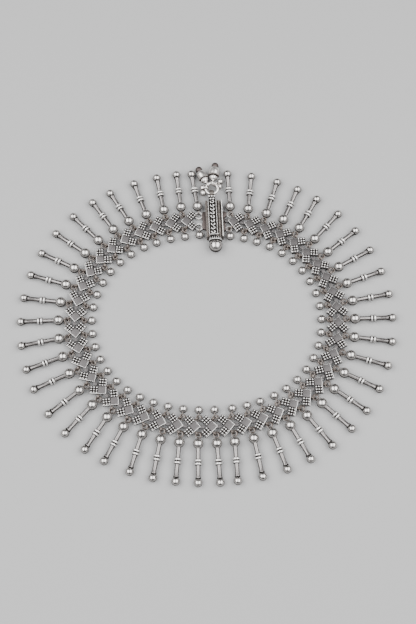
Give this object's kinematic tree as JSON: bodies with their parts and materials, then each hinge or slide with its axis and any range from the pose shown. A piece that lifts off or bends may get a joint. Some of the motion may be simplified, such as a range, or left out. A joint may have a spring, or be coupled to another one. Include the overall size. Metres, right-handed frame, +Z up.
{
  "type": "anklet",
  "caption": "Oxidised silver anklet: closed row of granulated chevron links with rod drops outside, small ball beads inside and a key clasp hung with bells.",
  "frame": {"origin": "middle of the closed loop at the height of the surface it lies on", "axes": "+X along the long width of the loop, +Y from the middle of the ankle opening to the clasp, +Z up from the surface to the worn face"},
  "size_m": [0.1258, 0.1132, 0.0046],
  "materials": {
    "silver_links": "oxidised silver, worn bright on the raised edges",
    "silver_drops": "polished silver with dark oxide in the grooves",
    "silver_clasp": "oxidised silver, dark in the recesses"
  },
  "bodies": {
    "root": {"link_chain_left": "silver_links", "link_chain_right": "silver_links", "rod_drops": "silver_drops", "inner_beads": "silver_drops", "clasp_left_half": "silver_clasp", "clasp_right_half": "silver_clasp", "clasp_key": "silver_clasp", "clasp_screw": "silver_drops", "bell_ring": "silver_drops", "bell_top": "silver_drops", "bell_top_left": "silver_drops", "bell_left": "silver_drops", "bell_right": "silver_drops"}
  },
  "joints": []
}
